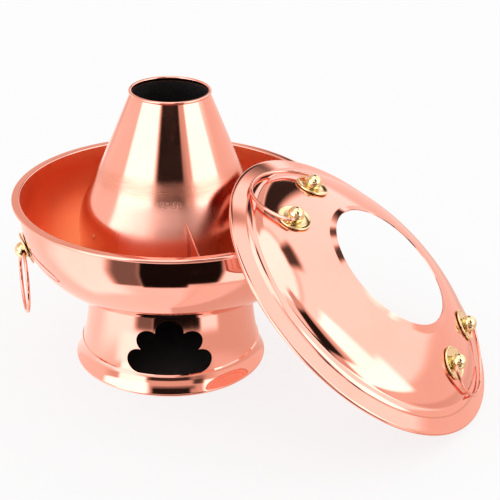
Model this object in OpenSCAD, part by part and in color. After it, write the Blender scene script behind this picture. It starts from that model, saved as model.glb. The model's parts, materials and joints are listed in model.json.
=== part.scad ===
// Chimney hot pot: a soup bowl round a charcoal chimney, with its lid leaning on the rim.
// Origin: middle of the foot, on the table. +Z up, -Y to the front with the air opening.

/* [Bowl] */
// Outer diameter of the bowl's rolled rim
rim_d = 320; // [312:1:326]
// Height of the top of the rim above the table
rim_h = 182; // [177:1:187]
// Width of the flat rim, from the bowl's inside to its outer edge
rim_w = 8.5; // [7:0.5:11]
// Height of the upright part of the bowl's side
bowl_upright = 18; // [10:1:22]
// Outer radius of the bowl's rounded side
bowl_round = 78; // [74:1:82]
// Diameter of the fire hole in the bowl's floor
fire_hole_d = 156; // [150:1:162]
// Thickness of the sheet metal
sheet = 1; // [0.8:0.1:1.2]
// Diameter of the wire in the rim
rim_wire_d = 1.8; // [1.4:0.1:2.4]

/* [Chimney] */
// Height of the chimney's mouth above the table
chimney_h = 292.4; // [280:0.2:310]
// Outer diameter of the chimney's mouth
mouth_d = 82; // [76:1:90]
// Diameter where the straight cone ends
cone_d = 145; // [140:1:150]
// Height where the straight cone ends
cone_h = 208; // [202:1:214]
// Largest diameter of the rounded belly
belly_d = 186.6; // [182:0.2:190]
// Height of the belly's widest ring
belly_h = 145; // [140:1:150]
// Roundness of the shoulder between cone and belly
shoulder_round = 30; // [24:1:34]
// Inward sweep of the belly, from its widest ring to its foot on the bowl's floor
belly_in = 4.3; // [3:0.1:6]
// Diameter of the wire in the chimney's lip
mouth_wire_d = 1.2; // [1:0.1:1.6]
// Depth of the bright lip above the dark liner
lip_depth = 5; // [4:0.5:10]
// Length of the dark liner, measured down the chimney
liner_l = 78; // [40:1:78]
// Thickness of the liner
liner_t = 0.8; // [0.5:0.1:1.2]

/* [Grate] */
// Thickness of the fire grate
grate_t = 4; // [3:0.5:6]
// Width of a slot in the grate
slot_w = 6; // [4:0.5:8]
// Distance from slot to slot
slot_pitch = 12; // [10:0.5:16]

/* [Dividers] */
// Turn of the divider plates from the front, towards the lid
divider_turn = 11.3; // [0:0.1:30]
// Drop of the divider's top edge below the rim, at the bowl's wall
divider_drop = 3; // [2:0.5:20]
// Rise of the divider's top edge above the rim, at the chimney
divider_rise = 3; // [0:0.5:4]

/* [Base] */
// Outer diameter of the rolled foot
foot_d = 200; // [196:1:206]
// Diameter of the base's neck under the bowl
neck_d = 172; // [168:1:176]
// Height of the raised crease above the foot
crease_h = 20.8; // [16:0.1:24]
// Height at which the neck starts to flare
flare_h = 80; // [74:1:84]
// Radius of the skirt's hollow curve, seen from the side
skirt_round = 270; // [240:5:400]
// Step of the skirt's wall at the crease
crease_step = 1.2; // [0.8:0.1:2]
// Diameter of the wire in the foot
foot_wire_d = 2.8; // [2:0.1:3.4]
// Width of the flat ring that the foot stands on
foot_flat = 2; // [1:0.1:2.4]
// Thickness of the ash plate
ash_plate_t = 1.2; // [0.8:0.1:2]

/* [Air opening] */
// Width of the cloud-shaped opening across its lower lobes
cloud_w = 85.4; // [70:0.2:88]
// Width across its middle lobes
cloud_mid_w = 66.6; // [56:0.2:70]
// Height of its lower edge above the crease
cloud_lift = 0.7; // [0.5:0.1:4]
// Height of the opening
cloud_h = 58; // [52:1:60]
// Radius of the two lower lobes
cloud_low_r = 12.2; // [10:0.1:13]
// Radius of the two middle lobes
cloud_mid_r = 12; // [10:0.1:13]
// Radius of the top lobe
cloud_top_r = 14.4; // [12:0.1:16]

/* [Bowl handles] */
// Turn of the two bowl handles about the pot, towards the front on the left
handle_turn = 13.3; // [0:0.1:30]
// Slope of the bowl's wall at the handles, from upright
handle_slope = 21.8; // [10:0.2:30]
// Mean diameter of a hanging ring
ring_d = 66; // [56:1:72]
// Thickness of a ring's wire
ring_wire = 3.6; // [3:0.1:3.8]

/* [Lugs] */
// Diameter of a round lug plate
plate_d = 34; // [28:1:36]
// Thickness of a lug plate
plate_t = 1.5; // [1:0.1:1.8]
// Height of the rounded edge on a lug plate
plate_bead = 0.5; // [0.3:0.1:0.6]
// Diameter of a ball lug
ball_d = 16.5; // [15:0.5:18]
// Height of the ball's centre above its plate
ball_rise = 3.6; // [3.4:0.1:4.4]
// Diameter of a lug's shank
shank_d = 5; // [4:0.5:6]
// Diameter of the cap nut on a shank
nut_d = 10; // [9:0.5:12]
// Height of the straight part of a cap nut
nut_h = 3; // [2.5:0.5:4]

/* [Lid] */
// How far the lid's edge stands out past the bowl's rim
lid_over = 7; // [5:0.5:9]
// Diameter of the wire in the lid's edge
lid_wire_d = 2; // [1.4:0.1:2.2]
// Width of the flange, from the lid's edge to the small step
flange_w = 15.5; // [14:0.5:17]
// Height of the step's upper edge above the middle of the rolled edge
step_z = 7.9; // [7:0.1:9]
// Height of the small step itself
step_rise = 1.3; // [0.8:0.1:1.6]
// Width of the ledge inside the step
ledge_w = 5.1; // [4:0.1:7]
// Height of the ledge's inner edge, where the skirt starts
ledge_z = 10.3; // [9.5:0.1:11.5]
// Gap between the chimney and the lid's hole when the lid is on
hole_gap = 4.5; // [3:0.5:7]
// Width of the collar round the hole, seen from above
collar_w = 6.4; // [5:0.1:8]
// Height of the collar's foot above the middle of the rolled edge
collar_z = 39.7; // [38:0.1:42]
// Height of the collar
collar_h = 3.6; // [2.5:0.1:5]

/* [Lid handles] */
// Distance between the two lugs of one bail
lug_gap = 74; // [68:1:78]
// Place of the lugs down the dome, from 0 at the collar to 1 at the skirt
lug_place = 0.48; // [0.44:0.01:0.52]
// Radius of a bail's round loop
bail_r = 50; // [48:0.5:52]
// Radius of the bends at a bail's ends
bail_bend = 4; // [3.5:0.1:4.5]
// Thickness of a bail's wire
bail_wire = 3.4; // [3:0.1:3.6]
// Turn of the lid about its own axis
lid_roll = 4.8; // [-90:0.1:90]

/* [Lean] */
// Gap between the chimney and the leaning lid's upper edge
lean_room = 6.5; // [3:0.5:10]
// Direction in which the lid leans, from +X
lean_turn = -21.2; // [-40:0.1:20]
// Gap between lid and rim, and under the lid's lowest edge
lean_gap = 0.3; // [0.2:0.1:0.6]

/* [Hidden] */

seam = 0.05;          // gap between pieces that are joined
fit_gap = 0.07;       // radial gap of a turning fit
copper = [0.86, 0.55, 0.46];
brass = [0.86, 0.78, 0.5];
soot = [0.08, 0.07, 0.07];
steel = [0.6, 0.6, 0.6];
round_fn = 96;
plate_fn = 64;
hole_fn = 48;
wire_fn = 24;
arc_steps = 20;
curl_steps = 16;
eps = 0.01;

// First and last angle of the sheet rolled round each wire
rim_curl = [90, -190];
mouth_curl = [180, -60];
foot_curl = [30, -200];
lid_curl = [66, -200];

// Points along curves, in a (radius, height) half plane
function arc(c, r, a0, a1, n = arc_steps) =
    [for (i = [0:n]) let (a = a0 + (a1 - a0) * i / n) c + r * [cos(a), sin(a)]];
function bezier_at(p, t) =
    pow(1 - t, 3) * p[0] + 3 * t * pow(1 - t, 2) * p[1]
    + 3 * t * t * (1 - t) * p[2] + pow(t, 3) * p[3];
function bezier(p, n = arc_steps) = [for (i = [0:n]) bezier_at(p, i / n)];
function unit(v) = v / norm(v);
function along(p, i) = unit(p[min(i + 1, len(p) - 1)] - p[max(i - 1, 0)]);
function beside(p, t) = [for (i = [0:len(p) - 1]) let (d = along(p, i)) p[i] + t * [d[1], -d[0]]];
function backwards(p) = [for (i = [len(p) - 1:-1:0]) p[i]];
function rest(p) = [for (i = [1:len(p) - 1]) p[i]];
function wall(p, t) = concat(p, backwards(beside(p, t)));

// Bowl: inside surface, from the fire hole up to the rim and round the wire
bowl_r = rim_d / 2 - rim_w + sheet;
bowl_c = [bowl_r - bowl_round, rim_h - bowl_upright];
bowl_in = bowl_round - sheet;
function floor_at(r, R) = bowl_c[1] - sqrt(R * R - pow(r - bowl_c[0], 2));
rim_roll = rim_wire_d / 2 + sheet;
rim_c = [rim_d / 2 - rim_roll, rim_h - rim_roll];
rim_turn = 1.5;       // radius of the bend from the side to the flat rim
bowl_path = concat(
    arc(bowl_c, bowl_in, -acos((fire_hole_d / 2 - bowl_c[0]) / bowl_in), 0),
    arc([bowl_r - sheet + rim_turn, rim_h - rim_turn], rim_turn, 180, 90, 6),
    arc(rim_c, rim_roll, rim_curl[0], rim_curl[1], curl_steps));

// Chimney: outside surface from the foot up to the lip
mouth_roll = mouth_wire_d / 2 + sheet;
mouth_c = [mouth_d / 2 - mouth_roll, chimney_h - mouth_roll];
foot_r = belly_d / 2 - belly_in;
foot_z = floor_at(foot_r, bowl_in) + seam;
cone_top = [mouth_c[0] - mouth_roll + sheet, mouth_c[1]];
cone_end = [cone_d / 2, cone_h];
belly = [belly_d / 2, belly_h];
belly_foot = [foot_r, foot_z];
belly_pull = 0.4;     // where the belly's lower curve is drawn to, as a share of its height
belly_curve = [belly_foot, belly_foot + belly_pull * (belly - belly_foot),
    belly - [0, (belly_h - foot_z) / 2], belly];
shoulder_curve = [belly, belly + [0, shoulder_round],
    cone_end - shoulder_round * unit(cone_top - cone_end), cone_end];
chimney_out = concat(
    bezier(belly_curve),
    rest(bezier(shoulder_curve)),
    [cone_top]);
chimney_in = [for (p = beside(chimney_out, -sheet)) [p[0], max(p[1], foot_z)]];
cone_slope = (cone_end[0] - cone_top[0]) / (cone_top[1] - cone_end[1]);
function chimney_r(z) = lookup(z, [for (p = chimney_out) [p[1], p[0]]]);
function cone_r(z) = cone_top[0] + cone_slope * (cone_top[1] - z);

// Base: outside surface, from the neck down to the foot and round the wire
neck_r = neck_d / 2;
neck_z = floor_at(neck_r - sheet, bowl_round) - seam;
skirt_c = [neck_r + skirt_round, flare_h];
foot_roll = foot_wire_d / 2 + sheet;
foot_sink = foot_roll - sqrt(pow(foot_roll, 2) - pow(foot_flat / 2, 2));
foot_c = [foot_d / 2 - foot_roll, foot_roll - foot_sink];
skirt_end = skirt_c - [sqrt(pow(skirt_round, 2) - pow(flare_h - crease_h - crease_step, 2)),
    flare_h - crease_h - crease_step];
crease_pull = [0.6, -7];       // pulls that shape the hollow band below the crease
foot_pull = [-2.6, 5];
band_top = skirt_end + [crease_step, -crease_step];
band_foot = foot_c + foot_roll * [cos(foot_curl[0]), sin(foot_curl[0])];
base_path = concat(
    [[neck_r, neck_z]],
    arc(skirt_c, skirt_round, 180, 180 + asin((flare_h - skirt_end[1]) / skirt_round)),
    bezier([band_top, band_top + crease_pull, band_foot + foot_pull, band_foot], curl_steps),
    rest(arc(foot_c, foot_roll, foot_curl[0], foot_curl[1], curl_steps)));
ash_in = 0.8;         // from the middle of the foot's roll in to the ash plate's edge
ash_z = foot_c[1] + sqrt(pow(foot_roll, 2) - pow(ash_in, 2)) + seam;
ash_r = foot_c[0] - ash_in;

// Lid: outside surface in the lid's own frame, from the collar out to the edge and round the wire
lid_r = rim_d / 2 + lid_over;
lid_roll_r = lid_wire_d / 2 + sheet;
lid_c = [lid_r - lid_roll_r, 0];
hole_r = cone_r(rim_h + collar_z + collar_h) + hole_gap;
collar_foot = [hole_r + collar_w, collar_z];
step_run = 0.8;       // width of the small step
skirt_foot = [3.2, -1.3];      // from the dome's edge to the ledge
skirt_bend = [0.9, -0.9];      // from the dome's edge to the bend in the skirt's foot
collar_bend = [1, 0.9];        // half width and rise of the bend at the collar's foot
dome_from_collar = [19, -2.7]; // pulls that shape the dome
dome_from_skirt = [-10.5, 13];
ledge = [lid_r - flange_w - ledge_w, ledge_z];
step_up = [lid_r - flange_w, step_z];
step_down = step_up + [step_run, -step_rise];
skirt_top = ledge - skirt_foot;
dome = [collar_foot + [collar_bend[0], 0], collar_foot + dome_from_collar,
    skirt_top + dome_from_skirt, skirt_top];
lid_path = concat(
    [[hole_r, collar_z + collar_h], collar_foot + [-collar_bend[0], collar_bend[1]]],
    bezier(dome),
    [skirt_top + skirt_bend, ledge, step_up, step_down],
    arc(lid_c, lid_roll_r, lid_curl[0], lid_curl[1], curl_steps));

// Lean: the lid's lowest edge is just off the table, its rolled edge lies across the rim at two
// places, and its tilt is the one at which the upper edge comes within lean_room of the chimney
edges_apart = lid_roll_r + rim_roll + lean_gap;
function edge_up(tilt) = lid_c[0] * sin(tilt) + lid_roll_r + lean_gap;
function lean_rise(tilt) = rim_c[1] - edge_up(tilt);
function lean_run(tilt, below) = (cos(tilt) * lean_rise(tilt) + below) / sin(tilt);
function lean_along(tilt, below) = lean_run(tilt, below) * cos(tilt) + lean_rise(tilt) * sin(tilt);
function lean_side(tilt, below) = sqrt(pow(lid_c[0], 2) - pow(lean_along(tilt, below), 2));
function lean_reach(tilt, below) = sqrt(pow(rim_c[0], 2) - pow(lean_side(tilt, below), 2));
function lean_slant(tilt, below) = sin(tilt) * lid_c[0]
    / (lean_reach(tilt, below) + lean_along(tilt, below) * cos(tilt));
function lean_below(tilt) = edges_apart * sqrt(1 + pow(lean_slant(tilt, edges_apart), 2));
function lean_at(tilt) = lean_run(tilt, lean_below(tilt)) + lean_reach(tilt, lean_below(tilt));
function lean_space(tilt) = lean_at(tilt) - lid_r * cos(tilt) - cone_r(edge_up(tilt) + lid_r * sin(tilt));
function lean_solve(low, high, n = 24) = let (mid = (low + high) / 2)
    n == 0 ? mid : lean_space(mid) > lean_room ? lean_solve(mid, high, n - 1) : lean_solve(low, mid, n - 1);
lean_tilt = lean_solve(36, 44);
edge_z = edge_up(lean_tilt);
lean_out = lean_at(lean_tilt);

// Lugs: plate, ball and nut stand square to the wall; lid lugs sit on the dome
shank_reach = 10;     // reach of a shank's hole to either side of the wall
nut_room = 0.25;      // the hollow wall lifts a flat nut this far off its middle
nut_end = 0.2;        // gap past the end of a shank in its cap nut
ring_room = 0.3;      // radial gap round a hanging ring in the middle of its ball
ring_flare = 1.4;     // widening of the ball's hole from its middle to its mouth
ball_r = ball_d / 2;
ball_z = seam + plate_t + ball_rise;
lug_at = bezier_at(dome, lug_place);
lug_dir = unit(bezier_at(dome, lug_place + eps) - bezier_at(dome, lug_place - eps));
lug_slope = atan2(-lug_dir[1], lug_dir[0]);
axis_at = lug_at + ball_z * [sin(lug_slope), cos(lug_slope)];
lug_half = asin(lug_gap / 2 / axis_at[0]);
axis_r = axis_at[0] * cos(lug_half);
bail_clear = bail_wire / 2 + lean_gap;
pin_past = 1;         // reach of a bail's pin past its ball
pin_end = lug_gap / 2 - ball_r - pin_past;

// Bail: its rest is where the loop comes within bail_clear of the lid
lid_top = concat([for (p = lid_path) if (p[0] < step_down[0] + eps) p], [lid_c + [0, lid_roll_r]]);
function lid_z(r) = lookup(r, lid_top);
function lid_lie(r) = atan((lid_z(r - eps) - lid_z(r + eps)) / (2 * eps));
function loop_at(a, rest) = [axis_r + (bail_bend + bail_r * sin(a)) * cos(rest), bail_r * cos(a),
    axis_at[1] - (bail_bend + bail_r * sin(a)) * sin(rest)];
function loop_gap(p) = let (r = norm([p[0], p[1]])) (p[2] - lid_z(r)) * cos(lid_lie(r));
function bail_gap(rest) = min([for (a = [0:5:90]) loop_gap(loop_at(a, rest))]);
function bail_solve(low, high, n = 24) = let (mid = (low + high) / 2)
    n == 0 ? mid : bail_gap(mid) > bail_clear ? bail_solve(mid, high, n - 1) : bail_solve(low, mid, n - 1);
bail_rest = bail_solve(0, 60);
hinge_mid = bowl_c + (bowl_round + ball_z) * [cos(handle_slope), -sin(handle_slope)];

// A sheet or a wire turned about the upright axis
module turned(points) rotate_extrude($fn = round_fn) polygon(points);
module hoop(c, d) rotate_extrude($fn = round_fn) translate(c) circle(d = d, $fn = wire_fn);

// Frames of the bowl handles, of the leaning lid and of the lid's lugs
module on_bowl(turn) rotate([0, 0, turn]) translate([bowl_c[0], 0, bowl_c[1]])
    rotate([0, 90 + handle_slope, 0]) translate([0, 0, bowl_round]) children();
module on_lean() translate([lean_out * cos(lean_turn), lean_out * sin(lean_turn), edge_z])
    rotate([0, lean_tilt, lean_turn]) rotate([0, 0, lid_roll]) children();
module on_dome(side, hand) rotate([0, 0, side + hand * lug_half])
    translate([lug_at[0], 0, lug_at[1]]) rotate([0, lug_slope, 0]) children();

// ---- lugs, the same on the bowl and on the lid ----
module shank_hole() cylinder(d = shank_d + 2 * seam, h = 2 * shank_reach, center = true, $fn = hole_fn);
module plate_shape() color(brass) difference() {
    translate([0, 0, seam]) union() {
        cylinder(d = plate_d - plate_t, h = plate_t, $fn = plate_fn);
        rotate_extrude($fn = plate_fn) translate([plate_d / 2 - plate_t, (plate_t + plate_bead) / 2])
            circle(d = plate_t + plate_bead, $fn = wire_fn);
    }
    shank_hole();
}
module lug_shape() {
    difference() {
        translate([0, 0, ball_z]) sphere(d = ball_d, $fn = hole_fn);
        translate([0, 0, -ball_d]) cylinder(d = 2 * ball_d, h = ball_d + 2 * seam + plate_t);
    }
    translate([0, 0, -sheet - nut_h])
        cylinder(d = shank_d, h = nut_h + sheet + plate_t + ball_rise / 2, $fn = hole_fn);
}
module nut_shape() color(brass) translate([0, 0, -sheet - nut_room]) mirror([0, 0, 1]) difference() {
    union() {
        cylinder(d = nut_d, h = nut_h, $fn = 6);
        intersection() {
            translate([0, 0, nut_h - nut_d / 4]) sphere(d = nut_d - 1, $fn = hole_fn);
            cylinder(d = nut_d, h = nut_h + nut_d, $fn = hole_fn);
        }
    }
    translate([0, 0, -nut_h]) cylinder(d = shank_d + 2 * seam, h = 2 * nut_h + nut_end, $fn = hole_fn);
}

// Ball lug with a flared hole, in which a ring's curved wire can swing
module ring_lug() color(brass) difference() {
    lug_shape();
    for (s = [90, -90]) translate([0, 0, ball_z]) rotate([s, 0, 0])
        cylinder(r1 = ring_wire / 2 + ring_room, r2 = ring_wire / 2 + ring_room + ring_flare,
            h = ball_r, $fn = hole_fn);
}
// Ball lug with a straight hole along the bail's hinge line
module bail_lug(hand) color(brass) difference() {
    lug_shape();
    translate([0, 0, ball_z]) rotate([0, -lug_slope, 0]) rotate([0, 0, -hand * lug_half])
        rotate([90, 0, 0])
            cylinder(d = bail_wire + 2 * fit_gap, h = 2 * ball_d, center = true, $fn = hole_fn);
}

// ---- base ----
cloud_z = crease_h + cloud_lift;
module cloud() {
    low = [cloud_w / 2 - cloud_low_r, cloud_z + cloud_low_r];
    top = [0, cloud_z + cloud_h - cloud_top_r];
    middle = [cloud_mid_w / 2 - cloud_mid_r, top[1] + cloud_top_r - 2 * cloud_mid_r];
    for (s = [-1, 1]) {
        translate([s * low[0], low[1]]) circle(r = cloud_low_r, $fn = hole_fn);
        translate([s * middle[0], middle[1]]) circle(r = cloud_mid_r, $fn = hole_fn);
    }
    translate(top) circle(r = cloud_top_r, $fn = hole_fn);
    polygon([[low[0], cloud_z], low, middle, top, [-middle[0], middle[1]],
        [-low[0], low[1]], [-low[0], cloud_z]]);
}
module base_shell() color(copper) difference() {
    turned(wall(base_path, sheet));
    rotate([90, 0, 0]) linear_extrude(foot_d) cloud();
    translate([0, 0, -foot_d]) cylinder(r = foot_d, h = foot_d);
}
module foot_wire() color(steel) hoop(foot_c, foot_wire_d - 2 * seam);
module ash_plate() color(soot) translate([0, 0, ash_z]) cylinder(r = ash_r, h = ash_plate_t, $fn = round_fn);

// ---- bowl and fire ----
module bowl_shell() color(copper) difference() {
    turned(wall(bowl_path, sheet));
    for (turn = [handle_turn, 180 + handle_turn]) on_bowl(turn) shank_hole();
}
module rim_wire() color(steel) hoop(rim_c, rim_wire_d - 2 * seam);
grate_gap = 2;        // gap between the grate's edge and the chimney's foot
grate_rim = 6;        // width of the grate's solid rim
grate_r = foot_r - sheet - grate_gap;
slots_r = grate_r - grate_rim;
slots = floor((slots_r - slot_w) / slot_pitch);
module fire_grate() color(soot) translate([0, 0, floor_at(grate_r, bowl_in) + seam]) difference() {
    cylinder(r = grate_r, h = grate_t, $fn = round_fn);
    for (i = [-slots:slots]) {
        half = sqrt(pow(slots_r, 2) - pow(abs(i) * slot_pitch + slot_w / 2, 2));
        translate([i * slot_pitch - slot_w / 2, -half, -grate_t]) cube([slot_w, 2 * half, 3 * grate_t]);
    }
}

// ---- chimney and dividers ----
module chimney_shell() color(copper) turned(concat(
    chimney_out,
    rest(arc(mouth_c, mouth_roll - sheet, mouth_curl[0], mouth_curl[1], curl_steps)),
    arc(mouth_c, mouth_roll, mouth_curl[1], mouth_curl[0], curl_steps),
    backwards(chimney_in)));
module mouth_wire() color(steel) hoop(mouth_c, mouth_wire_d - 2 * seam);
function sheath(gap, low, high) = let (p = beside(chimney_out, -gap), t = [for (q = p) [q[1], q[0]]])
    concat([[lookup(low, t), low]], [for (q = p) if (q[1] > low + eps && q[1] < high - eps) q],
        [[lookup(high, t), high]]);
module chimney_liner() color(soot) {
    top = chimney_h - lip_depth;
    low = top - liner_l;
    turned(concat(sheath(sheet + seam, low, top), backwards(sheath(sheet + seam + liner_t, low, top))));
}
module divider() {
    top_in = [chimney_r(rim_h + divider_rise) + seam, rim_h + divider_rise];
    top_out = [bowl_r - sheet - seam, rim_h - divider_drop];
    beside_chimney = [for (p = chimney_out) if (p[1] < top_in[1]) p + [seam, 0]];
    along_bowl = [for (p = bowl_path)
        if (p[0] > foot_r + seam && p[0] < bowl_r && p[1] < top_out[1]) p];
    rotate([90, 0, 0]) linear_extrude(sheet, center = true)
        polygon(concat(beside_chimney, [top_in, top_out], backwards(beside(along_bowl, -seam))));
}
module divider_front() color(copper) rotate([0, 0, divider_turn - 90]) divider();
module divider_back() color(copper) rotate([0, 0, divider_turn + 90]) divider();

// ---- bowl handles ----
module ring_at(turn) color(copper) rotate([0, 0, turn])
    translate([hinge_mid[0], 0, hinge_mid[1] - ring_d / 2])
    rotate([0, 90, 0]) hoop([ring_d / 2, 0], ring_wire);
module handle_plate_left() on_bowl(180 + handle_turn) plate_shape();
module handle_lug_left() on_bowl(180 + handle_turn) ring_lug();
module handle_nut_left() on_bowl(180 + handle_turn) nut_shape();
module handle_ring_left() ring_at(180 + handle_turn);
module handle_plate_right() on_bowl(handle_turn) plate_shape();
module handle_lug_right() on_bowl(handle_turn) ring_lug();
module handle_nut_right() on_bowl(handle_turn) nut_shape();
module handle_ring_right() ring_at(handle_turn);

// ---- lid ----
module lid_shell() color(copper) on_lean() difference() {
    turned(wall(lid_path, sheet));
    for (side = [0, 180], hand = [-1, 1]) on_dome(side, hand) shank_hole();
}
module lid_edge_wire() color(steel) on_lean() hoop(lid_c, lid_wire_d - 2 * seam);
module lid_plate_upper_a() on_lean() on_dome(180, 1) plate_shape();
module lid_plate_upper_b() on_lean() on_dome(180, -1) plate_shape();
module lid_plate_lower_a() on_lean() on_dome(0, 1) plate_shape();
module lid_plate_lower_b() on_lean() on_dome(0, -1) plate_shape();
module lid_lug_upper_a() on_lean() on_dome(180, 1) bail_lug(1);
module lid_lug_upper_b() on_lean() on_dome(180, -1) bail_lug(-1);
module lid_lug_lower_a() on_lean() on_dome(0, 1) bail_lug(1);
module lid_lug_lower_b() on_lean() on_dome(0, -1) bail_lug(-1);
module lid_nut_upper_a() on_lean() on_dome(180, 1) nut_shape();
module lid_nut_upper_b() on_lean() on_dome(180, -1) nut_shape();
module lid_nut_lower_a() on_lean() on_dome(0, 1) nut_shape();
module lid_nut_lower_b() on_lean() on_dome(0, -1) nut_shape();

// Bail: a half ring, two tight bends and two pins that lie along the hinge line
module bent(r, angle) rotate_extrude(angle = angle, $fn = round_fn) translate([r, 0])
    circle(d = bail_wire, $fn = wire_fn);
module bail_shape() {
    bent(bail_r, 180);
    for (s = [0, 1]) mirror([s, 0, 0]) {
        translate([bail_r - bail_bend, 0, 0]) mirror([0, 1, 0]) bent(bail_bend, 90);
        translate([pin_end, -bail_bend, 0]) rotate([0, 90, 0])
            cylinder(d = bail_wire, h = bail_r - bail_bend - pin_end, $fn = hole_fn);
    }
}
module bail_at(side) color(copper) on_lean() rotate([0, 0, side])
    translate([axis_r, 0, axis_at[1]]) rotate([0, bail_rest, 0]) rotate([0, 0, -90])
    translate([0, bail_bend, 0]) bail_shape();
module lid_bail_upper() bail_at(180);
module lid_bail_lower() bail_at(0);

base_shell();
foot_wire();
ash_plate();
bowl_shell();
rim_wire();
fire_grate();
chimney_shell();
mouth_wire();
chimney_liner();
divider_front();
divider_back();
handle_plate_left();
handle_lug_left();
handle_nut_left();
handle_ring_left();
handle_plate_right();
handle_lug_right();
handle_nut_right();
handle_ring_right();
lid_shell();
lid_edge_wire();
lid_plate_upper_a();
lid_plate_upper_b();
lid_plate_lower_a();
lid_plate_lower_b();
lid_lug_upper_a();
lid_lug_upper_b();
lid_lug_lower_a();
lid_lug_lower_b();
lid_nut_upper_a();
lid_nut_upper_b();
lid_nut_lower_a();
lid_nut_lower_b();
lid_bail_upper();
lid_bail_lower();
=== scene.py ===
"""A polished copper hot pot with a charcoal chimney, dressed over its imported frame."""
import json
import math

import bmesh
import bpy
from mathutils import Matrix, Vector


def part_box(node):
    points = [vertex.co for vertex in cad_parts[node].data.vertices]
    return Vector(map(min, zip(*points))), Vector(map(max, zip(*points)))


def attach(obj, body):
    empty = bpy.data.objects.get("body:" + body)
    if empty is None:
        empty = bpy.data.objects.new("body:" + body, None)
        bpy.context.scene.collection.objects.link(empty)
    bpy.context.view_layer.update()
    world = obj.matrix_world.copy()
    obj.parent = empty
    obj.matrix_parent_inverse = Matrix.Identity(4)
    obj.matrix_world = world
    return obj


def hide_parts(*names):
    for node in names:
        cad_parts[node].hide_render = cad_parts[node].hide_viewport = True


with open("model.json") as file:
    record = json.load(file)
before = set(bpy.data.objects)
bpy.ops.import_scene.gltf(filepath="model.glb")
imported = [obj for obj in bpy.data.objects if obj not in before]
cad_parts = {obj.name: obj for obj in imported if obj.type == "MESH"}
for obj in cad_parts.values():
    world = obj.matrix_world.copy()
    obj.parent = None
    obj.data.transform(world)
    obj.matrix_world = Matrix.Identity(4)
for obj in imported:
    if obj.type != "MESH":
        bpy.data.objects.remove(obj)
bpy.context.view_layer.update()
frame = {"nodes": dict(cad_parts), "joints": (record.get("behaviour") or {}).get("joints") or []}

# ---- sizes, in millimetres, in the pot's own frame ----
MM = 0.001
SHEET = 1.0            # thickness of the copper sheet
SEAM = 0.05            # gap under a plate that lies on a wall
TURN_STEPS = 216       # facets round the pot
ROLL_STEPS = 20        # facets round a wire or a rolled edge
MERGE = 0.002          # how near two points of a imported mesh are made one
CLOSE = 0.001          # and of a turned shape
CRISP_ANGLE = 32       # degrees past which an edge isn't shaded smooth
EDGE_ANGLE = 40        # degrees past which an edge is rounded


def corner(node, which):
    """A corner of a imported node's box, in millimetres."""
    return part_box(node)[which] / MM


def joint(name):
    """Hinge point and axis of a joint of the frame, in millimetres."""
    found = next(j for j in frame["joints"] if j["name"] == name)
    return Vector(found["pos_m"]) / MM, Vector(found["axis"])


# Bowl
RIM_R = corner("bowl_shell", 1).x
RIM_TOP = corner("bowl_shell", 1).z
RIM_W = 8.5
RIM_ROLL = 1.9         # outer radius of the roll round the rim's wire
RIM_BEND = 1.5         # radius from the side to the flat rim
RIM_CURL_END = -190    # degrees
BOWL_UPRIGHT = 18.0    # from the middle of the bowl's curve up to the rim
BOWL_ROUND = 78.0      # outer radius of the bowl's curve
BOWL_STEPS = 48
BOWL_R = RIM_R - RIM_W + SHEET
BOWL_MID = Vector((BOWL_R - BOWL_ROUND, RIM_TOP - BOWL_UPRIGHT))
FIRE_HOLE_R = 78.0

# Chimney
MOUTH_TOP = corner("chimney_shell", 1).z
BELLY = Vector((corner("chimney_shell", 1).x, 145.0))
BELLY_FOOT = Vector((BELLY.x - 4.3, corner("chimney_shell", 0).z))
BELLY_PULL = 0.4
BELLY_STEPS = 28
CONE_END = Vector((72.5, 208.0))
CONE_STEPS = 16
SHOULDER_ROUND = 30.0
SHOULDER_STEPS = 36
LIP_ROLL = 1.6
LIP_CURL_END = -60     # degrees
LIP_CURL_STEPS = 12
LIP = Vector((41.0 - LIP_ROLL, MOUTH_TOP - LIP_ROLL))
CONE_TOP = LIP - Vector((LIP_ROLL - SHEET, 0))

# Base
FOOT_R = corner("base_shell", 1).x
NECK_R = 86.0
NECK_TOP = corner("base_shell", 1).z
CREASE_H = 20.8
CREASE_STEP = 1.2
FLARE_H = 80.0         # where the skirt starts to flare
SKIRT_ROUND = 270.0
SKIRT_STEPS = 30
FOOT_ROLL = 2.4
FOOT_SINK = 0.22       # how far the roll would reach below the table, where it is flattened
FOOT_CURL = (30, -200)               # degrees
CREASE_PULL = Vector((0.6, -7.0))    # pulls of the curved band between crease and foot
FOOT_PULL = Vector((-2.6, 5.0))
BAND_STEPS = 16

# Cloud-shaped air opening: middle and radius of each lobe, across and up
CLOUD_FOOT = 21.5
CLOUD_LOBES = [((-30.5, 33.7), 12.2), ((30.5, 33.7), 12.2), ((-21.3, 55.1), 12.0), ((21.3, 55.1), 12.0),
               ((0.0, 65.1), 14.4)]
CLOUD_STEPS = 96

# Lid, in its own frame: the rolled edge's middle is at height 0
LID_R = RIM_R + 7.0
LID_ROLL = 2.0
LID_EDGE = Vector((LID_R - LID_ROLL, 0))
EDGE_CURL = (66, -200)               # degrees
EDGE_START = Vector((0.41, 0.91))    # from the roll's middle to where the flange meets it
FLANGE_W = 15.5
FLANGE_STEPS = 8
STEP_UP = Vector((LID_R - FLANGE_W, 7.9))
STEP_DOWN = STEP_UP + Vector((0.8, -1.3))
STEP_ROUND = 0.25
LEDGE_W = 5.1
LEDGE = Vector((LID_R - FLANGE_W - LEDGE_W, 10.3))
SKIRT_TOP = LEDGE + Vector((-3.2, 1.3))
SKIRT_BEND = SKIRT_TOP + Vector((0.9, -0.9))
SKIRT_BEND_STEPS = 10
HOLE_R = 69.96
COLLAR_FOOT = Vector((HOLE_R + 6.4, 39.7))
COLLAR_H = 3.6
COLLAR_BEND = Vector((-1, 0.9))
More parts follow.
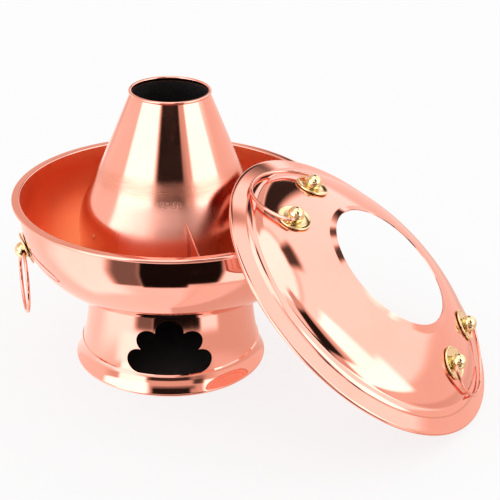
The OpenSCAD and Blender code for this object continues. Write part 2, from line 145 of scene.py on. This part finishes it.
DOME = [COLLAR_FOOT + Vector((1, 0)), COLLAR_FOOT + Vector((19, -2.7)), SKIRT_TOP + Vector((-10.5, 13)),
        SKIRT_TOP]
DOME_STEPS = 48

# Lugs, rings and bails
PLATE_R = 17.0
PLATE_T = 1.5
PLATE_BEAD = 0.5       # how far the edge stands over the plate
PLATE_HOLE_R = 2.6
PLATE_EDGE_W = 3.2     # from the plate's rim to the lowest part of its face
PLATE_RISE_R = 10.5    # where its face starts to rise to the shank
PLATE_STEPS = 96
BEAD_STEPS = 16
BALL_RISE = 5.15       # from the wall to the middle of the ball
RING_R = 33.0
RING_WIRE_R = 1.8
LUG_GAP = 74.0         # between the two lugs of a bail
LUG_PLACE = 0.48       # place on the dome's curve, 0 at the collar and 1 at the skirt


# ---- outlines, as points (radius, height) ----
def arc(mid, radius, first, last, steps):
    """Points on a circle, from one angle to another, in degrees."""
    angles = [math.radians(first + (last - first) * i / steps) for i in range(steps + 1)]
    return [Vector(mid) + radius * Vector((math.cos(a), math.sin(a))) for a in angles]


def bezier_at(pulls, t):
    """The point at a share t of the way along a curve of four pulls."""
    a, b, c, d = pulls
    return (1 - t) ** 3 * a + 3 * t * (1 - t) ** 2 * b + 3 * t * t * (1 - t) * c + t ** 3 * d


def bezier(pulls, steps):
    """Points along a curve of four pulls, with its ends."""
    return [bezier_at(pulls, i / steps) for i in range(steps + 1)]


def straight(a, b, steps):
    """Points between two ends, without the ends."""
    return [a.lerp(b, i / steps) for i in range(1, steps)]


def beside(path, gap):
    """The path moved sideways by a gap, to the right of its direction."""
    moved = []
    for i, point in enumerate(path):
        along = (path[min(i + 1, len(path) - 1)] - path[max(i - 1, 0)]).normalized()
        moved.append(point + gap * Vector((along.y, -along.x)))
    return moved


def wall(path):
    """Closed outline of the copper sheet along a path."""
    return path + beside(path, SHEET)[::-1]


def bowl_path():
    """Inside of the bowl, up from the fire hole and round the rim's wire."""
    inner = BOWL_ROUND - SHEET
    start = -math.degrees(math.acos((FIRE_HOLE_R - BOWL_MID.x) / inner))
    bend = Vector((BOWL_R - SHEET + RIM_BEND, RIM_TOP - RIM_BEND))
    side = arc(BOWL_MID, inner, start, 0, BOWL_STEPS)
    rim = Vector((RIM_R - RIM_ROLL, RIM_TOP - RIM_ROLL))
    return side + arc(bend, RIM_BEND, 180, 90, 8) + arc(rim, RIM_ROLL, 90, RIM_CURL_END, ROLL_STEPS)


def chimney_path():
    """Outside of the chimney, from its foot up to the wire in its lip."""
    belly = bezier([BELLY_FOOT, BELLY_FOOT.lerp(BELLY, BELLY_PULL),
                    BELLY - Vector((0, (BELLY.y - BELLY_FOOT.y) / 2)), BELLY], BELLY_STEPS)
    up_the_cone = (CONE_TOP - CONE_END).normalized()
    shoulder = bezier([BELLY, BELLY + Vector((0, SHOULDER_ROUND)), CONE_END - SHOULDER_ROUND * up_the_cone,
                       CONE_END], SHOULDER_STEPS)
    return belly + shoulder[1:] + straight(CONE_END, CONE_TOP, CONE_STEPS) + [CONE_TOP]


def base_path():
    """Outside of the base, from the neck down to the foot and round its wire."""
    mid = Vector((NECK_R + SKIRT_ROUND, FLARE_H))
    drop = FLARE_H - CREASE_H - CREASE_STEP
    skirt = arc(mid, SKIRT_ROUND, 180, 180 + math.degrees(math.asin(drop / SKIRT_ROUND)), SKIRT_STEPS)
    foot = Vector((FOOT_R - FOOT_ROLL, FOOT_ROLL - FOOT_SINK))
    roll = arc(foot, FOOT_ROLL, *FOOT_CURL, ROLL_STEPS)
    band_top = skirt[-1] + Vector((CREASE_STEP, -CREASE_STEP))
    band = bezier([band_top, band_top + CREASE_PULL, roll[0] + FOOT_PULL, roll[0]], BAND_STEPS)
    neck = Vector((NECK_R, NECK_TOP))
    return [neck] + skirt + band + roll[1:]


def lid_path():
    """Outside of the lid, from the hole out to the rolled edge."""
    collar = [Vector((HOLE_R, COLLAR_FOOT.y + COLLAR_H)), COLLAR_FOOT + COLLAR_BEND]
    dome = bezier(DOME, DOME_STEPS)
    foot = bezier([SKIRT_TOP, SKIRT_BEND, SKIRT_BEND, LEDGE], SKIRT_BEND_STEPS)[1:]
    step = [STEP_UP - Vector((STEP_ROUND, 0)), STEP_UP - Vector((0, STEP_ROUND)), STEP_DOWN]
    flange = straight(STEP_DOWN, LID_EDGE + LID_ROLL * EDGE_START, FLANGE_STEPS)
    return collar + dome + foot + step + flange + arc(LID_EDGE, LID_ROLL, *EDGE_CURL, ROLL_STEPS)


# ---- modelling ----
def finish(name, bm, material, body, replaced, place=None):
    """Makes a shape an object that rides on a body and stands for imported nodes."""
    if place:
        bmesh.ops.transform(bm, matrix=place, verts=bm.verts)
    bmesh.ops.scale(bm, vec=(MM, MM, MM), verts=bm.verts)
    for face in bm.faces:
        face.smooth = True
    for edge in bm.edges:
        if len(edge.link_faces) == 2 and edge.calc_face_angle() > math.radians(CRISP_ANGLE):
            edge.smooth = False
    mesh = bpy.data.meshes.new(name)
    bm.to_mesh(mesh)
    bm.free()
    piece = bpy.data.objects.new(name, mesh)
    bpy.context.scene.collection.objects.link(piece)
    for one in material if isinstance(material, (list, tuple)) else [material]:
        mesh.materials.append(one)
    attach(piece, body)
    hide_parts(*replaced)
    return piece


def tidied(bm):
    """Closes the seam of a turned shape and points its faces outwards."""
    bmesh.ops.remove_doubles(bm, verts=bm.verts, dist=CLOSE)
    bmesh.ops.recalc_face_normals(bm, faces=bm.faces)
    return bm


def turned(outline, steps=TURN_STEPS):
    """A closed outline spun about the upright axis."""
    bm = bmesh.new()
    points = [bm.verts.new((p.x, 0, p.y)) for p in outline]
    lines = [bm.edges.new(pair) for pair in zip(points, points[1:] + points[:1])]
    bmesh.ops.spin(bm, geom=points + lines, cent=(0, 0, 0), axis=(0, 0, 1), angle=math.tau, steps=steps,
                   use_merge=True)
    return tidied(bm)


def hoop(radius, wire):
    """A round wire bent into a ring about the upright axis."""
    return turned(arc((radius, 0), wire, 0, 360 - 360 / ROLL_STEPS, ROLL_STEPS - 1))


def copied(node):
    """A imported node's mesh with its loose triangles joined and its flat faces made whole, in millimetres."""
    bm = bmesh.new()
    bm.from_mesh(frame["nodes"][node].data)
    bmesh.ops.scale(bm, vec=(1 / MM, 1 / MM, 1 / MM), verts=bm.verts)
    bmesh.ops.remove_doubles(bm, verts=bm.verts, dist=MERGE)
    bmesh.ops.dissolve_limit(bm, angle_limit=math.radians(1), verts=bm.verts, edges=bm.edges)
    return bm


def softened(bm, width):
    """Rounds the sharp edges of a shape."""
    edges = [e for e in bm.edges if len(e.link_faces) == 2 and e.calc_face_angle() > math.radians(EDGE_ANGLE)]
    bmesh.ops.bevel(bm, geom=edges, offset=width, affect="EDGES", segments=2, profile=0.5, material=-1,
                    clamp_overlap=True)
    return bm


def cut(piece, tool):
    """Takes the tool's shape out of a piece, and removes the tool."""
    modifier = piece.modifiers.new("cut", "BOOLEAN")
    modifier.operation = "DIFFERENCE"
    modifier.solver = "EXACT"
    modifier.object = tool
    bpy.context.view_layer.update()
    evaluated = piece.evaluated_get(bpy.context.evaluated_depsgraph_get())
    piece.data = bpy.data.meshes.new_from_object(evaluated)
    piece.modifiers.clear()
    bpy.data.objects.remove(tool)


# ---- shader maths ----
class Value:
    """A socket that takes Python's own signs: each adds its Math node."""

    def __init__(self, finish_, socket):
        self.finish, self.socket = finish_, socket

    def math(self, operation, *others):
        inputs = dict(enumerate((self,) + others))
        return self.finish.add("ShaderNodeMath", {"operation": operation}, inputs)

    def __add__(self, other):
        return self.math("ADD", other)

    def __sub__(self, other):
        return self.math("SUBTRACT", other)

    def __rsub__(self, other):
        return self.finish.add("ShaderNodeMath", {"operation": "SUBTRACT"}, {0: other, 1: self})

    def __mul__(self, other):
        return self.math("MULTIPLY", other)

    __radd__, __rmul__ = __add__, __mul__


class Finish:
    """The nodes of a material or of the world."""

    def __init__(self, name, world=None):
        self.data = world or bpy.data.materials.new(name)
        self.data.use_nodes = True
        self.nodes = self.data.node_tree.nodes
        self.links = self.data.node_tree.links
        self.shader = self.nodes.get("Principled BSDF")

    def put(self, socket, value):
        """Links a value to a socket, or writes a number or colour in it."""
        if isinstance(value, Value):
            self.links.new(value.socket, socket)
        else:
            socket.default_value = value

    def add(self, kind, settings=None, inputs=None, output=0):
        """Adds a node: its settings come first, then its sockets. A list of stops fills a ramp."""
        node = self.nodes.new(kind)
        for key, value in (settings or {}).items():
            if key == "stops":
                ramp = node.color_ramp
                while len(ramp.elements) < len(value):
                    ramp.elements.new(1)
                for element, (place, colour) in zip(ramp.elements, value):
                    element.position = place
                    element.color = colour if isinstance(colour, tuple) else (colour, colour, colour, 1)
            else:
                setattr(node, key, value)
        for key, value in (inputs or {}).items():
            self.put(node.inputs[key], value)
        return Value(self, node.outputs[output])

    def set(self, **sockets):
        """Fills the shader's sockets by name."""
        for name, value in sockets.items():
            self.put(self.shader.inputs[name.replace("_", " ")], value)

    def place(self, frame_matrix=None):
        """Points in the piece's own frame, in metres."""
        points = self.add("ShaderNodeTexCoord", output="Object")
        if frame_matrix is None:
            return points
        turn = frame_matrix.to_euler()
        return self.add("ShaderNodeMapping", {"vector_type": "TEXTURE"},
                        {"Vector": points, "Location": frame_matrix.translation * MM, "Rotation": turn})

    def noise(self, points, scale, detail, stretch=None):
        """Soft noise at so many grains to a metre, squeezed along an axis where stretch is small."""
        if stretch:
            points = self.add("ShaderNodeVectorMath", {"operation": "MULTIPLY"}, {0: points, 1: stretch})
        return self.add("ShaderNodeTexNoise", {}, {"Vector": points, "Scale": scale, "Detail": detail,
                                                   "Roughness": 0.55})

    def round(self, points):
        """Distance from the axis, angle about it and height, in metres and radians."""
        x, y, z = (self.add("ShaderNodeSeparateXYZ", {}, {0: points}, output=i) for i in range(3))
        return (x * x + y * y).math("SQRT"), y.math("ARCTAN2", x), z

    def from_front(self, angle):
        """How far round from the pot's front an angle lies, in radians."""
        return (angle + math.pi / 2).math("ABSOLUTE")

    def between(self, value, low, high, to_low=0.0, to_high=1.0):
        """Maps a value from one range to another, with soft ends."""
        ranges = {"Value": value, "From Min": low, "From Max": high, "To Min": to_low, "To Max": to_high}
        return self.add("ShaderNodeMapRange", {"interpolation_type": "SMOOTHSTEP"}, ranges)

    def mix(self, share, first, second):
        """Colour between two colours."""
        node = self.nodes.new("ShaderNodeMix")
        node.data_type = "RGBA"
        for socket, value in zip((node.inputs[0], node.inputs[6], node.inputs[7]), (share, first, second)):
            self.put(socket, value)
        return Value(self, node.outputs[2])

    def bump(self, height, distance, strength, normal=None):
        """A relief, distance metres deep, over another relief where one is given."""
        inputs = {"Height": height, "Distance": distance, "Strength": strength}
        if normal:
            inputs["Normal"] = normal
        return self.add("ShaderNodeBump", {}, inputs)


# ---- finishes ----
ROSE_COPPER = (0.88, 0.45, 0.36, 1)
WORN_COPPER = (0.74, 0.30, 0.20, 1)
# redder than the outer copper: painted light bounced round inside the bowl
INNER_COPPER_PAINTED_BOUNCE = (0.93, 0.31, 0.13, 1)
PALE_BRASS = (0.80, 0.69, 0.40, 1)
OLD_BRASS = (0.55, 0.42, 0.18, 1)
SOOT = (0.012, 0.010, 0.010, 1)
SOOTY_IRON = (0.03, 0.028, 0.028, 1)
ASH = (0.055, 0.048, 0.045, 1)
DARK_STEEL = (0.42, 0.42, 0.43, 1)
PALE_STEEL = (0.6, 0.6, 0.61, 1)
BRUSHED = (0.2045, 0.2195)       # heights on the chimney, in metres
SCRATCHED = (0.186, 0.205)


def satin_copper(name, satin):
    """Copper scoured to a soft sheen, with rings from the lathe and darker clouds. It is redder than the outer
    copper, and that deeper red is painted bounce light from the bowl's own walls.
    """
    f = Finish(name)
    points = f.place()
    radius, angle, height = f.round(points)
    lathe = f.add("ShaderNodeCombineXYZ", {}, {0: radius * 2.0, 1: angle * 0.01, 2: height * 2.0})
    lines = f.noise(lathe, scale=700.0, detail=5.0)
    cloud = f.noise(points, scale=11.0, detail=4.0)
    f.set(Base_Color=f.mix(f.between(cloud, 0.4, 0.8) * 0.35, INNER_COPPER_PAINTED_BOUNCE, WORN_COPPER), Metallic=1.0,
          Roughness=satin + (lines - 0.5) * 0.25, Normal=f.bump(lines, distance=0.0001, strength=0.15))
    return f.data


def polished_copper(name, polish, frame_matrix=None, brushed=None, scratched=None):
    """Copper sheet spun on a lathe and polished: faint turning lines, soft clouding and fine scratches.

    It may be left brushed between two heights, and scratched on its front between two others."""
    f = Finish(name)
    points = f.place(frame_matrix)
    radius, angle, height = f.round(points)
    lathe = f.add("ShaderNodeCombineXYZ", {}, {0: radius * 3.0, 1: angle * 0.004, 2: height})
    lines = f.noise(lathe, scale=900.0, detail=4.0)
    cloud = f.noise(points, scale=14.0, detail=4.0)
    scratch = f.noise(points, scale=160.0, detail=6.0, stretch=(1.0, 1.0, 0.25))
    haze = f.between(cloud, 0.35, 0.75)
    rough = polish + haze * 0.04 + f.between(scratch, 0.55, 0.8) * 0.04
    colour = f.mix(haze * 0.22, ROSE_COPPER, WORN_COPPER)
    turning = f.bump(lines, distance=0.00003, strength=0.08)
    normal = f.bump(scratch, distance=0.00001, strength=0.2, normal=turning)
    if brushed:
        low, high = brushed
        wavy = height + (cloud - 0.5) * 0.012
        band = f.between(wavy, low - 0.006, low + 0.005) * f.between(wavy, high + 0.006, high - 0.005)
        front = f.between(f.from_front(angle), 0.75, 0.35, 0.08, 0.3)
        handled = f.between(wavy, low + 0.004, low - 0.016) * front
        rough = rough + band * (0.06 + lines * 0.18) + handled
        colour = f.mix(band * f.between(lines, 0.3, 0.7, 0.25, 0.75), colour, WORN_COPPER)
        normal = f.bump(lines, distance=0.0001, strength=band * 0.3, normal=normal)
    if scratched:
        low, high = scratched
        across, along = angle * 0.05 + height * 0.6, height - angle * 0.02
        slanted = f.add("ShaderNodeCombineXYZ", {}, {0: across, 1: along})
        hairs = f.noise(slanted, scale=1400.0, detail=2.0)
        patch = (f.between(height, low, low + 0.006) * f.between(height, high, high - 0.003)
                 * f.between(f.from_front(angle), 0.22, 0.08))
        hair = f.between(hairs, 0.56, 0.66) * patch
        rough = rough + hair * 0.25
        normal = f.bump(hair, distance=0.0001, strength=0.4, normal=normal)
    f.set(Base_Color=colour, Metallic=1.0, Roughness=rough, Normal=normal)
    return f.data


def sooty(name, colour):
    """Iron or copper black with soot, with paler ash in its grain."""
    f = Finish(name)
    points = f.place()
    grain = f.noise(points, scale=350.0, detail=8.0)
    cloud = f.noise(points, scale=30.0, detail=4.0)
    f.set(Base_Color=f.mix(f.between(cloud, 0.4, 0.8) * 0.5, colour, ASH), Metallic=0.0,
          Roughness=0.72 + grain * 0.25, Normal=f.bump(grain, distance=0.0004, strength=0.5))
    return f.data


def polished_brass(name):
    """Cast brass, polished by hand, with darker clouds."""
    f = Finish(name)
    points = f.place()
    cloud = f.noise(points, scale=60.0, detail=4.0)
    fine = f.noise(points, scale=900.0, detail=5.0)
    f.set(Base_Color=f.mix(f.between(cloud, 0.5, 0.85) * 0.6, PALE_BRASS, OLD_BRASS), Metallic=1.0,
          Roughness=0.07 + cloud * 0.06, Normal=f.bump(fine, distance=0.00003, strength=0.2))
    return f.data


def drawn_wire(name):
    """Steel wire inside a rolled edge."""
    f = Finish(name)
    grain = f.noise(f.place(), scale=600.0, detail=4.0)
    f.set(Base_Color=f.mix(grain, DARK_STEEL, PALE_STEEL), Metallic=1.0,
          Roughness=0.3 + grain * 0.2)
    return f.data


# ---- frames of the lid and of the lugs ----
def lid_frame():
    """The leaning lid's own frame: its x axis joins the two bails, its z axis comes out of the hole."""
    low, low_axis = joint("bail_lower_swing")
    high, _ = joint("bail_upper_swing")
    x_axis = (low - high).normalized()
    y_axis = -low_axis
    z_axis = x_axis.cross(y_axis)
    mid = (corner("lid_edge_wire", 0) + corner("lid_edge_wire", 1)) / 2
    return Matrix.Translation(mid) @ Matrix((x_axis, y_axis, z_axis)).transposed().to_4x4()


LID = lid_frame()
LUG_AT = bezier_at(DOME, LUG_PLACE)
LUG_DIR = (bezier_at(DOME, LUG_PLACE + 0.01) - bezier_at(DOME, LUG_PLACE - 0.01)).normalized()
LUG_SLOPE = math.atan2(-LUG_DIR.y, LUG_DIR.x)
HINGE_R = LUG_AT.x + BALL_RISE * math.sin(LUG_SLOPE)
LUG_HALF = math.asin(LUG_GAP / 2 / HINGE_R)


def on_dome(side, hand):
    """Frame of one lug on the lid: z stands square to the dome."""
    return (LID @ Matrix.Rotation(side + hand * LUG_HALF, 4, "Z")
            @ Matrix.Translation((LUG_AT.x, 0, LUG_AT.y)) @ Matrix.Rotation(LUG_SLOPE, 4, "Y"))


def on_bowl(ring):
    """Frame of one lug on the bowl, from its ring's hinge: z stands square to the wall."""
    hinge, _ = joint(ring)
    turn = math.atan2(hinge.y, hinge.x)
    slope = math.asin((BOWL_MID.y - hinge.z) / (BOWL_ROUND + BALL_RISE))
    return (Matrix.Rotation(turn, 4, "Z") @ Matrix.Translation((BOWL_MID.x, 0, BOWL_MID.y))
            @ Matrix.Rotation(math.pi / 2 + slope, 4, "Y") @ Matrix.Translation((0, 0, BOWL_ROUND)))


# ---- pieces ----
def make_bowl(copper, inner_copper_painted_bounce):
    """Soup bowl, satin inside and polished outside and on the rim."""
    bm = turned(wall(bowl_path()))
    for face in bm.faces:
        middle = face.calc_center_median()
        out = Vector((middle.x, middle.y, 0))
        inward = face.normal.z > 0 or face.normal.dot(out) < 0
        if inward and out.length < BOWL_R - SHEET / 2 and middle.z < RIM_TOP - 2 * RIM_BEND:
            # inside faces take the satin copper: the scouring is real, and its deeper red is painted bounce
            # light
            face.material_index = 1
    finish("bowl", bm, [copper, inner_copper_painted_bounce], "pot", ["bowl_shell"])


def make_chimney(copper, soot):
    """Chimney with its rolled lip, and the sooty sleeve in its mouth."""
    outside = chimney_path()
    inside = beside(outside, -SHEET)
    lip = (arc(LIP, LIP_ROLL - SHEET, 180, LIP_CURL_END, LIP_CURL_STEPS)[1:]
           + arc(LIP, LIP_ROLL, LIP_CURL_END, 180, ROLL_STEPS))
    outline = outside + lip + inside[::-1]
    finish("chimney", turned(outline), copper, "pot", ["chimney_shell"])
    finish("flue_lining", copied("chimney_liner"), soot, "pot", ["chimney_liner"])


def make_base(copper, soot):
    """Base, flat where it stands and near-black inside, with the air opening cut in its front."""
    bm = turned(wall(base_path()))
    for vert in bm.verts:
        vert.co.z = max(vert.co.z, 0)
    for face in bm.faces:
        middle = face.calc_center_median()
        out = Vector((middle.x, middle.y, 0)).normalized()
        # inside faces above the foot roll take the near-black finish
        if face.normal.dot(out) < -0.2 and middle.z > FOOT_ROLL * 2:
            face.material_index = 1
    base = finish("base", bm, [copper, soot], "pot", ["base_shell"])
    cut(base, cloud_cutter())


def cloud_cutter():
    """The air opening's outline, as a solid that reaches through the front of the base."""
    across = Matrix.Rotation(math.pi / 2, 4, "X")
    bodies = []
    for (x, z), radius in CLOUD_LOBES:
        bm = bmesh.new()
        bmesh.ops.create_cone(bm, cap_ends=True, segments=CLOUD_STEPS, radius1=radius, radius2=radius,
                              depth=FOOT_R, matrix=Matrix.Translation((x, -FOOT_R, z)) @ across)
        bodies.append(bm)
    right = [CLOUD_LOBES[1][0], CLOUD_LOBES[3][0], CLOUD_LOBES[4][0]]
    edge = [(right[0][0], CLOUD_FOOT)] + right
    edge += [(-x, z) for x, z in edge[-2::-1]]
    bm = bmesh.new()
    face = bm.faces.new([bm.verts.new((x, -1.5 * FOOT_R, z)) for x, z in edge])
    pushed = bmesh.ops.extrude_face_region(bm, geom=[face])["geom"]
    far_side = [v for v in pushed if isinstance(v, bmesh.types.BMVert)]
    bmesh.ops.translate(bm, vec=(0, FOOT_R, 0), verts=far_side)
    bmesh.ops.recalc_face_normals(bm, faces=bm.faces)
    bodies.append(bm)
    objects = []
    for i, bm in enumerate(bodies):
        bmesh.ops.scale(bm, vec=(MM, MM, MM), verts=bm.verts)
        mesh = bpy.data.meshes.new(f"lobe_{i}")
        bm.to_mesh(mesh)
        bm.free()
        piece = bpy.data.objects.new(f"lobe_{i}", mesh)
        bpy.context.scene.collection.objects.link(piece)
        objects.append(piece)
    first = objects[0]
    for other in objects[1:]:
        joined = first.modifiers.new("join", "BOOLEAN")
        joined.operation = "UNION"
        joined.solver = "EXACT"
        joined.object = other
    bpy.context.view_layer.update()
    first.data = bpy.data.meshes.new_from_object(first.evaluated_get(bpy.context.evaluated_depsgraph_get()))
    first.modifiers.clear()
    for other in objects[1:]:
        bpy.data.objects.remove(other)
    return first


def make_lid(copper):
    """Lid, leaning on the rim."""
    finish("lid", turned(wall(lid_path())), copper, "lid", ["lid_shell"], place=LID)


def make_plate(name, place, brass, body, node):
    """Round plate with a raised, rounded edge, and a face that dips inside it and rises to the shank."""
    bead = (PLATE_T + PLATE_BEAD) / 2
    outline = ([Vector((PLATE_HOLE_R, 0)), Vector((PLATE_R - PLATE_T, 0))]
               + arc((PLATE_R - bead, bead), bead, -80, 150, BEAD_STEPS)
               + [Vector((PLATE_R - PLATE_EDGE_W, PLATE_T * 0.75)), Vector((PLATE_RISE_R, PLATE_T * 0.8)),
                  Vector((PLATE_HOLE_R, PLATE_T))])
    on_wall = place @ Matrix.Translation((0, 0, SEAM))
    finish(name, turned(outline, steps=PLATE_STEPS), brass, body, [node], place=on_wall)


def make_copy(name, node, material, body, width=0.3):
    """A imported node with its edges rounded."""
    finish(name, softened(copied(node), width), material, body, [node])


def make_ring(name, copper, body, node, hinge_name):
    """Ring of a bowl handle, hanging from its hinge."""
    hinge, _ = joint(hinge_name)
    turn = math.atan2(hinge.y, hinge.x)
    place = (Matrix.Translation(hinge - Vector((0, 0, RING_R))) @ Matrix.Rotation(turn, 4, "Z")
             @ Matrix.Rotation(math.pi / 2, 4, "Y"))
    finish(name, hoop(RING_R, RING_WIRE_R), copper, body, [node], place=place)


# ---- studio ----
CAMERA_D = 1.3008      # metres from the pot's axis
CAMERA_H = 0.737
CAMERA_TURN = math.radians(1.0)     # from the front of the pot
YAW = math.radians(2.628)
PITCH = math.radians(25.454)
ROLL = math.radians(1.366)
FOCAL_PIXELS = 1387.5
IMAGE = 500            # width of the picture, in pixels
SENSOR = 36.0


def make_camera():
    """Camera at the photograph's viewing angle."""
    data = bpy.data.cameras.new("camera")
    data.sensor_width = SENSOR
    data.lens = FOCAL_PIXELS / IMAGE * data.sensor_width
    camera = bpy.data.objects.new("camera", data)
    ahead = Vector((math.sin(YAW) * math.cos(PITCH), math.cos(YAW) * math.cos(PITCH), -math.sin(PITCH)))
    level = ahead.cross(Vector((0, 0, 1))).normalized()
    upright = level.cross(ahead)
    right = level * math.cos(ROLL) + upright * math.sin(ROLL)
    up = upright * math.cos(ROLL) - level * math.sin(ROLL)
    turn = Matrix((right, up, -ahead)).transposed().to_4x4()
    spot = Vector((CAMERA_D * math.sin(CAMERA_TURN), -CAMERA_D * math.cos(CAMERA_TURN), CAMERA_H))
    camera.matrix_world = Matrix.Translation(spot) @ turn
    bpy.context.scene.collection.objects.link(camera)
    bpy.context.scene.camera = camera


def make_floor():
    """White floor. It keeps the object's soft shadow, and metal shows the studio in its place."""
    bm = bmesh.new()
    bmesh.ops.create_grid(bm, x_segments=1, y_segments=1, size=4.0)
    mesh = bpy.data.meshes.new("floor")
    bm.to_mesh(mesh)
    bm.free()
    floor = bpy.data.objects.new("floor", mesh)
    floor.visible_glossy = False
    bpy.context.scene.collection.objects.link(floor)
    f = Finish("white_floor")
    seen = f.add("ShaderNodeLightPath", output="Is Camera Ray")
    glow = f.add("ShaderNodeEmission", {}, {"Color": (1, 1, 1, 1), "Strength": 1.0})
    f.set(Base_Color=(0.9, 0.9, 0.9, 1), Roughness=0.9, Specular_IOR_Level=0.0)
    lit = f.add("ShaderNodeMixShader", {}, {0: seen * FLOOR_GLOW, 1: Value(f, f.shader.outputs[0]), 2: glow})
    f.put(f.nodes["Material Output"].inputs["Surface"], lit)
    mesh.materials.append(f.data)


# Soft cards and flags round the object, which only its polish sees. Each has its reach in degrees right of
# the front, its reach in degrees above the level, how soft its sides and ends are, and its brightness. Later
# ones stand in front, and between them the surroundings have the open light.
OPEN_LIGHT = 0.92
CARDS = [
    ((-250, 24), (-99, -10), (14, 4), 1.3),
    ((24, 72), (-99, -46), (8, 3), 1.15),
    ((-100, -44), (-60, -18), (16, 5), 1.75),
    ((38, 68), (-44, -23), (4, 2), 1.6),
    ((-48, -21), (-46, -23.5), (6, 1.5), 0.24),
    ((-23, 16), (-48, -23.5), (1.5, 1.5), 0.01),
    ((-10, 42), (-43, -23.5), (3, 1.5), 0.01),
    ((-70, -38), (-22, -12), (8, 1.5), 2.0),
    ((-40, -8), (-22, -15), (8, 1.5), 1.35),
    ((8, 26), (-22, -15), (6, 1.5), 0.7),
    ((-28, 27), (-14.5, -1), (7, 1.5), 0.05),
    ((27, 42), (-14.5, -1), (6, 1.5), 0.4),
    ((-140, -80), (-12, 26), (10, 4), 1.2),
    ((-63, -29), (-12, 9), (3, 2), 2.3),
    ((-82, -27), (7, 30), (4, 2), 2.6),
    ((-80, -26), (31, 70), (5, 3), 1.9),
    ((54, 186), (-14, 10), (6, 3), 1.1),
    ((54, 186), (10, 64), (5, 3), 1.5),
    ((40, 86), (5, 27), (3, 2.5), 2.6),
    ((57, 80), (25, 53), (3, 2.5), 2.6),
    ((-22, 30), (15, 21), (4, 3), 0.25),
    ((-22, 24), (19, 26.5), (2.5, 1.2), 0.02),
    ((27, 40), (-2, 12), (3, 2), 0.1),
    ((-26, 16), (27.5, 66), (5, 1.5), 1.3),
    ((-21, 26), (26, 28.8), (4, 0.7), 0.35),
    ((17, 45), (30, 63), (3, 2), 0.02),
    ((-250, 250), (66, 99), (1, 3), 2.0),
    ((20, 52), (62, 74), (6, 3), 0.8),
    ((112, 136), (58, 67), (5, 2), 0.1),
    ((144, 162), (45, 53), (4, 3), 0.15),
    ((158, 178), (18, 54), (3, 3), 0.04),
]
WARM_SHADE = (1.0, 0.68, 0.58, 1)    # tint of the studio below the first of the two levels
CARD_WHITE = (1, 0.98, 1.0, 1)       # its tint above the second
TINT_LEVELS = (0.8, 1.7)
FLOOR_GLOW = 0.8                     # share of its own light in the floor that the camera sees


def make_world():
    """Plain white light from all round. Glossy rays alone see the tinted cards and flags in its place."""
    world = bpy.data.worlds.new("studio")
    bpy.context.scene.world = world
    f = Finish("studio", world)
    looking = f.add("ShaderNodeTexCoord", output="Generated")
    x, y, z = (f.add("ShaderNodeSeparateXYZ", {}, {0: looking}, output=i) for i in range(3))
    turn = x.math("ARCTAN2", y * -1.0) * math.degrees(1)
    lift = z.math("ARCSINE") * math.degrees(1)
    level = OPEN_LIGHT
    for (left, right), (low, high), (side, end), bright in CARDS:
        inside = (f.between(turn, left - side, left + side) * f.between(turn, right + side, right - side)
                  * f.between(lift, low - end, low + end) * f.between(lift, high + end, high - end))
        level = inside * (bright - level) + level
    tint = f.mix(f.between(level, *TINT_LEVELS), WARM_SHADE, CARD_WHITE)
    shade = f.add("ShaderNodeVectorMath", {"operation": "SCALE"}, {0: tint, "Scale": level})
    glossy = f.add("ShaderNodeLightPath", output="Is Glossy Ray")
    colour = f.mix(glossy, (1, 1, 1, 1), shade)
    f.put(f.nodes["Background"].inputs["Color"], colour)
    f.nodes["Background"].inputs["Strength"].default_value = 1.0


def main():
    """Makes the finishes, then every piece, then the studio."""
    bowl_copper = polished_copper("bowl_copper", 0.05)
    inner_copper_painted_bounce = satin_copper("inner_copper_painted_bounce", 0.42)
    divider_copper = polished_copper("divider_copper", 0.16)
    chimney_copper = polished_copper("chimney_copper", 0.06, brushed=BRUSHED, scratched=SCRATCHED)
    base_copper = polished_copper("base_copper", 0.05)
    lid_copper = polished_copper("lid_copper", 0.05, frame_matrix=LID)
    wire_copper = polished_copper("wire_copper", 0.07)
    brass = polished_brass("lug_brass")
    soot = sooty("soot", SOOT)
    iron = sooty("sooty_iron", SOOTY_IRON)
    steel = drawn_wire("edge_wire")

    make_bowl(bowl_copper, inner_copper_painted_bounce)
    make_chimney(chimney_copper, soot)
    make_base(base_copper, soot)
    make_lid(lid_copper)
    for node in ("divider_front", "divider_back"):
        make_copy(node + "_plate", node, divider_copper, "pot", 0.25)
    for side in ("left", "right"):
        swing = f"ring_{side}_swing"
        make_ring(f"bowl_ring_{side}", wire_copper, f"ring_{side}", f"handle_ring_{side}", swing)
        make_plate(f"bowl_plate_{side}", on_bowl(swing), brass, "pot", f"handle_plate_{side}")
        make_copy(f"bowl_lug_{side}", f"handle_lug_{side}", brass, "pot")
        make_copy(f"bowl_nut_{side}", f"handle_nut_{side}", brass, "pot")
    for end, side in (("upper", math.pi), ("lower", 0.0)):
        bail = f"lid_bail_{end}"
        finish(f"bail_{end}", copied(bail), wire_copper, f"bail_{end}", [bail])
        for letter, hand in (("a", 1), ("b", -1)):
            tail = f"{end}_{letter}"
            make_plate(f"plate_{tail}", on_dome(side, hand), brass, "lid", f"lid_plate_{tail}")
            make_copy(f"lug_{tail}", f"lid_lug_{tail}", brass, "lid")
            make_copy(f"nut_{tail}", f"lid_nut_{tail}", brass, "lid")
    make_copy("grate", "fire_grate", iron, "pot", 0.5)
    make_copy("ash_tray", "ash_plate", iron, "pot", 0.3)
    for node in ("foot_wire", "rim_wire", "mouth_wire", "lid_edge_wire"):
        frame["nodes"][node].data.materials.clear()
        frame["nodes"][node].data.materials.append(steel)

    make_camera()
    make_floor()
    make_world()
    bpy.context.scene.view_settings.view_transform = "Standard"


main()
